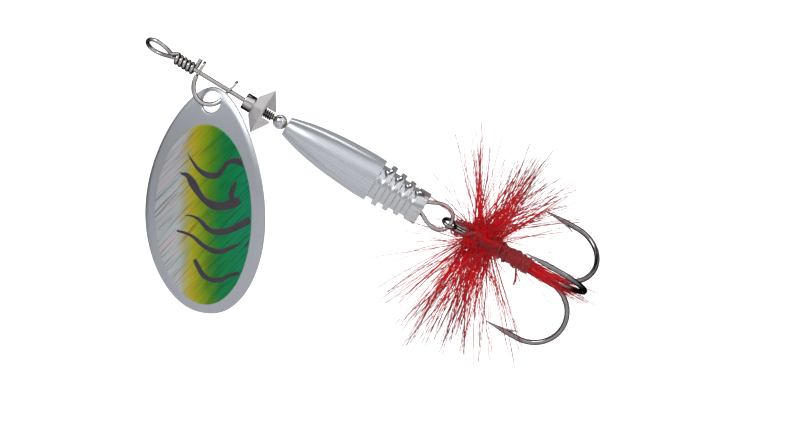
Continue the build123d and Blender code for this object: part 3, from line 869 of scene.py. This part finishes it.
def fibres(strands, name, replaces=(), sides=5, thin=0.18):
    """Curved tapering fibres, all of them in one mesh.

    Each strand is its root, direction, length, radius, dark tone, bend two ways and how solid it is.
    """
    roots, heads, lengths, radii, tones, bends, solids = (np.array(column) for column in zip(*strands))
    count, steps = len(roots), 9
    waviness, waves, taper = 0.014, 7, 1.25
    clear_from, clear_share = 0.75, 0.35
    t = np.linspace(0, 1, steps)
    side_dir = unit(np.cross(heads, TREBLE_ALONG) + 1e-6)
    fore = unit(np.cross(side_dir, heads))
    wave = ARRAY_RNG.uniform(0, 6.28, count)
    size = ARRAY_RNG.normal(0, waviness, count)
    path = (
        roots[:, None]
        + heads[:, None] * (lengths[:, None] * t)[..., None]
        + fore[:, None] * (bends[:, 0, None] * lengths[:, None] * t**2)[..., None]
        + side_dir[:, None] * (bends[:, 1, None] * lengths[:, None] * t**2)[..., None]
        + side_dir[:, None] * ((size * lengths)[:, None] * np.sin(wave[:, None] + waves * t))[..., None]
    )
    radius = radii[:, None] * (1 - (1 - thin) * t**taper)
    angle = circle(sides)[:, None]
    ring = side_dir[:, None, None] * np.cos(angle) + fore[:, None, None] * np.sin(angle)
    verts = path[:, :, None] + ring * radius[:, :, None, None]
    dark = np.clip(tones[:, None] * (0.4 + 0.6 * t), 0, 1)
    tip = np.clip((t - clear_from) / (1 - clear_from), 0, 1)
    solid = solids[:, None] * (1 - clear_share * tip)
    colours = np.ones((count, steps, sides, 4), np.float32)
    colours[..., 0] = t[None, :, None]
    colours[..., 1] = dark[:, :, None]
    colours[..., 2] = solid[:, :, None]
    base = (np.arange(count) * steps * sides)[:, None, None]
    i = np.arange(steps - 1)[None, :, None] * sides
    j = np.arange(sides)[None, None, :]
    a, b = base + i + j, base + i + (j + 1) % sides
    quads = np.stack([a, b, b + sides, a + sides], -1).reshape(-1, 4)
    shape = (verts.reshape(-1, 3), quads, None)
    return link(name, shape, FIBRE, "treble", replaces, colours.reshape(-1, 4))


def fan(count, clump, angles, angle_sd, lean_mid, lean_sd, length, radius, tone, solid, spread=3.5):
    """Fibres that leave the collar around given angles, in clumps that stick together."""
    collar_r, root_sd, bend_sd = 1.1, 0.22, 0.03
    strands = []
    while len(strands) < count:
        angle = RNG.gauss(RNG.choice(angles), angle_sd)
        lean = RNG.gauss(lean_mid, lean_sd)
        start = RNG.uniform(collar_start + 0.1, collar_stop - 0.5)
        curve = RNG.gauss(0.02, 0.05)
        for _ in range(RNG.randint(*clump)):
            out = hook_out(math.radians(angle + RNG.gauss(0, spread)))
            tilt = math.radians(lean + RNG.gauss(0, spread))
            strands.append((
                TREBLE_ORIGIN + TREBLE_ALONG * (start + RNG.gauss(0, root_sd)) + out * collar_r,
                out * math.cos(tilt) + TREBLE_ALONG * math.sin(tilt),
                RNG.uniform(*length),
                RNG.uniform(*radius),
                RNG.uniform(*tone),
                (curve + RNG.gauss(0, bend_sd), RNG.gauss(0, 0.05)),
                RNG.uniform(*solid),
            ))
    return strands


def tail(count, start, length, radius, tone, solid, splay):
    """Fibres tied down along the shanks, half of them on the near side, loose past the bends."""
    bend_sd = 0.03
    strands = []
    for _ in range(count):
        out = hook_out(math.radians(RNG.choice((RNG.uniform(0, 360), RNG.gauss(205, 35)))))
        root = TREBLE_ORIGIN + TREBLE_ALONG * RNG.uniform(*start) + out * RNG.uniform(0.5, 0.95)
        tilt = math.radians(abs(RNG.gauss(0, splay)) - 1.0)
        strands.append((
            root,
            TREBLE_ALONG * math.cos(tilt) + out * math.sin(tilt),
            RNG.uniform(*length),
            RNG.uniform(*radius),
            RNG.uniform(*tone),
            (RNG.gauss(0, bend_sd), RNG.gauss(0, bend_sd)),
            RNG.uniform(*solid),
        ))
    return strands


# each fan: count, clump, angles and their spread, lean and its spread, then the ranges of length,
# radius, dark tone and how solid the fibres are
EVERY = list(range(0, 360, 30))
ABOVE, BELOW = [90], [270]
barbs = fan(74, (2, 5), ABOVE, 22, 6, 17, (10, 17.0), (0.055, 0.085), (0.0, 0.35), (0.95, 1.0), 4)
barbs += fan(70, (2, 5), BELOW, 22, 0, 15, (12, 19.8), (0.055, 0.085), (0.0, 0.35), (0.95, 1.0), 4)
barbs += fan(30, (2, 4), EVERY, 15, 4, 26, (6, 13), (0.045, 0.07), (0.0, 0.1), (0.9, 1.0))
barbs += fan(80, (2, 5), EVERY, 15, 0, 26, (1.8, 4.2), (0.06, 0.11), (0.0, 0.03), (1.0, 1.0))
fibres(barbs, "hackle_barbs", ["hackle_collar"], thin=0.42)

hairs = fan(80, (1, 3), ABOVE, 28, 6, 26, (13, 17.6), (0.05, 0.065), (0.2, 1.0), (0.9, 1.0))
hairs += fan(95, (1, 3), BELOW, 26, -4, 22, (14, 20.4), (0.05, 0.065), (0.2, 1.0), (0.9, 1.0))
hairs += fan(50, (1, 3), EVERY, 15, -42, 14, (11, 18), (0.042, 0.056), (0.3, 1.0), (0.85, 1.0))
hairs += fan(34, (1, 3), EVERY, 15, 45, 12, (10, 17), (0.042, 0.056), (0.1, 0.9), (0.85, 1.0))
fibres(hairs, "hackle_hairs", sides=4, thin=0.55)

# each tail: count, then the ranges of start, length, radius, dark tone and how solid, and the splay
strands = tail(90, (8.5, 14.0), (7, 10.5), (0.06, 0.12), (0.0, 0.08), (0.95, 1.0), 2.2)
strands += tail(46, (11.0, 16.0), (8, 13), (0.035, 0.06), (0.0, 0.4), (0.8, 1.0), 7.0)
strands += tail(34, (11.5, 14.0), (9, 15), (0.034, 0.048), (0.2, 1.0), (0.8, 1.0), 16.0)
fibres(strands, "tail_strands", ["tail_fibres"])

# ------------------------------------------------------------------ loose thread ends by the whipping
DOWN = np.array([0.0, 0.0, -1.0])
ACROSS = np.array([1.0, 0.0, 0.0])
TAG_ENDS = ((-0.45, 2.7, 0.15), (-0.15, 2.3, 0.12), (0.55, 2.4, 0.085), (1.5, 2.0, 0.045), (-0.8, 3.2, 0.035))
tag_root = hook_at(float((middle("thread_tag") - TREBLE_ORIGIN) @ TREBLE_ALONG), 1.0, -90)


def loose_end(sway, drop, radius):
    """One thread end that hangs from the whipping and sways to one side."""
    path = smooth_path([
        tag_root - DOWN * 0.4 + ACROSS * sway * 0.1,
        tag_root + DOWN * drop * 0.3 + ACROSS * (sway * 0.1 - 0.12),
        tag_root + DOWN * drop * 0.65 + ACROSS * sway * 0.5,
        tag_root + DOWN * drop + ACROSS * sway,
    ], 8)
    return tube(path, np.linspace(radius, radius * 0.75, len(path)), 8)


thread_ends = merge([loose_end(*end) for end in TAG_ENDS])
link("thread_ends", thread_ends, THREAD, "treble", ["thread_tag"])


# ------------------------------------------------------------------ stage, light and camera
def plain(name, colour, roughness):
    """Plain painted surface with a faint mottle."""
    look = Nodes(name)
    look.set(Roughness=roughness)
    mottle = look.noise(look.mapped(look.source("Object"), "Scale", grey(6)), 3.0)
    low = tuple(channel * 0.985 for channel in colour)
    look.feed(look.ramp(mottle, [(0.3, low), (0.7, colour)]), "Base Color")
    return look.material


def glowing(name, strength):
    """White surface that gives light."""
    look = Nodes(name)
    look.set(Base_Color=(0.9, 0.9, 0.9, 1), Roughness=0.9)
    look.set(Emission_Color=(1, 1, 1, 1), Emission_Strength=strength)
    return look.material


def board(name, corners, material):
    """A flat board of four corners."""
    mesh = bpy.data.meshes.new(name)
    mesh.from_pydata(corners, [], [(0, 1, 2, 3)])
    mesh.materials.append(material)
    obj = bpy.data.objects.new(name, mesh)
    bpy.context.scene.collection.objects.link(obj)
    return obj


def softbox(name, place, target, size, power):
    """A flat lamp that points at a target."""
    data = bpy.data.lights.new(name, "AREA")
    data.shape = "RECTANGLE"
    data.size, data.size_y = size
    data.energy = power
    obj = bpy.data.objects.new(name, data)
    obj.location = place
    obj.rotation_euler = (Vector(target) - Vector(place)).to_track_quat("-Z", "Y").to_euler()
    bpy.context.scene.collection.objects.link(obj)
    return obj


# brightness of the studio by height, from straight down at -1 to straight up at 1
STUDIO_BANDS = [
    (-1.0, 0.03), (-0.845, 0.03), (-0.82, 0.62), (-0.50, 0.70), (-0.22, 0.80), (-0.12, 0.40),
    (0.10, 0.34), (0.24, 0.46), (0.34, 0.78), (0.81, 0.78), (0.832, 0.02), (1.0, 0.02),
]
# the studio is dimmer behind the object than in front of it
STUDIO_DIMMING = (("From Min", -0.15), ("From Max", 0.2), ("To Min", 1.0), ("To Max", 0.28))


def studio_world():
    """Dark and bright bands for the metal to mirror."""
    world = bpy.data.worlds.new("studio")
    world.use_nodes = True
    tree = world.node_tree
    back = tree.nodes["Background"]
    coord = tree.nodes.new("ShaderNodeTexCoord")
    split = tree.nodes.new("ShaderNodeSeparateXYZ")
    height = tree.nodes.new("ShaderNodeMapRange")
    height.inputs["From Min"].default_value = -1
    bands = tree.nodes.new("ShaderNodeValToRGB")
    while len(bands.color_ramp.elements) < len(STUDIO_BANDS):
        bands.color_ramp.elements.new(0.5)
    for element, (place, tone) in zip(bands.color_ramp.elements, STUDIO_BANDS):
        element.position = (place + 1) / 2
        element.color = (tone * 0.97, tone * 0.985, tone, 1)
    dimming = tree.nodes.new("ShaderNodeMapRange")
    for key, value in STUDIO_DIMMING:
        dimming.inputs[key].default_value = value
    tree.links.new(coord.outputs["Generated"], split.inputs["Vector"])
    tree.links.new(split.outputs["Z"], height.inputs["Value"])
    tree.links.new(height.outputs["Result"], bands.inputs["Fac"])
    tree.links.new(bands.outputs["Color"], back.inputs["Color"])
    tree.links.new(split.outputs["Y"], dimming.inputs["Value"])
    tree.links.new(dimming.outputs["Result"], back.inputs["Strength"])
    return world


low, high = START_BOUNDS
centre = (low + high) / 2
FLOOR_Z = low.z - 0.060
FLOOR_LEFT, FLOOR_RIGHT, FLOOR_FRONT = -0.6, 0.7, -0.9
BACK_Y, BACK_LEFT, BACK_RIGHT, BACK_TOP = 0.5, -0.12, 0.19, 0.10
floor_corners = [
    (FLOOR_LEFT, FLOOR_FRONT, FLOOR_Z),
    (FLOOR_RIGHT, FLOOR_FRONT, FLOOR_Z),
    (FLOOR_RIGHT, BACK_Y, FLOOR_Z),
    (FLOOR_LEFT, BACK_Y, FLOOR_Z),
]
wall_corners = [
    (BACK_LEFT, BACK_Y, FLOOR_Z),
    (BACK_RIGHT, BACK_Y, FLOOR_Z),
    (BACK_RIGHT, BACK_Y, BACK_TOP),
    (BACK_LEFT, BACK_Y, BACK_TOP),
]
floor = board("studio_floor", floor_corners, plain("pale_floor", (0.93, 0.93, 0.935), 0.75))
wall = board("studio_backdrop", wall_corners, glowing("lit_backdrop", 0.9))

bpy.context.scene.world = studio_world()
softbox("key_light", (-0.28, -0.55, 0.42), centre, (0.34, 0.22), 1.0)
softbox("fill_light", (0.50, -0.5, 0.05), centre, (0.10, 0.5), 0.22)
softbox("top_light", (0.05, 0.1, 0.5), centre, (0.5, 0.10), 0.5)

camera = bpy.data.objects.new("camera", bpy.data.cameras.new("camera"))
camera.data.lens = 275.2
camera.data.sensor_width = 36
camera.data.clip_start = 0.01
camera.location = (0.0346, -0.9, -0.02565)
camera.rotation_euler = (math.radians(90), 0, 0)
bpy.context.scene.collection.objects.link(camera)
bpy.context.scene.camera = camera
bpy.context.scene.view_settings.view_transform = "Standard"
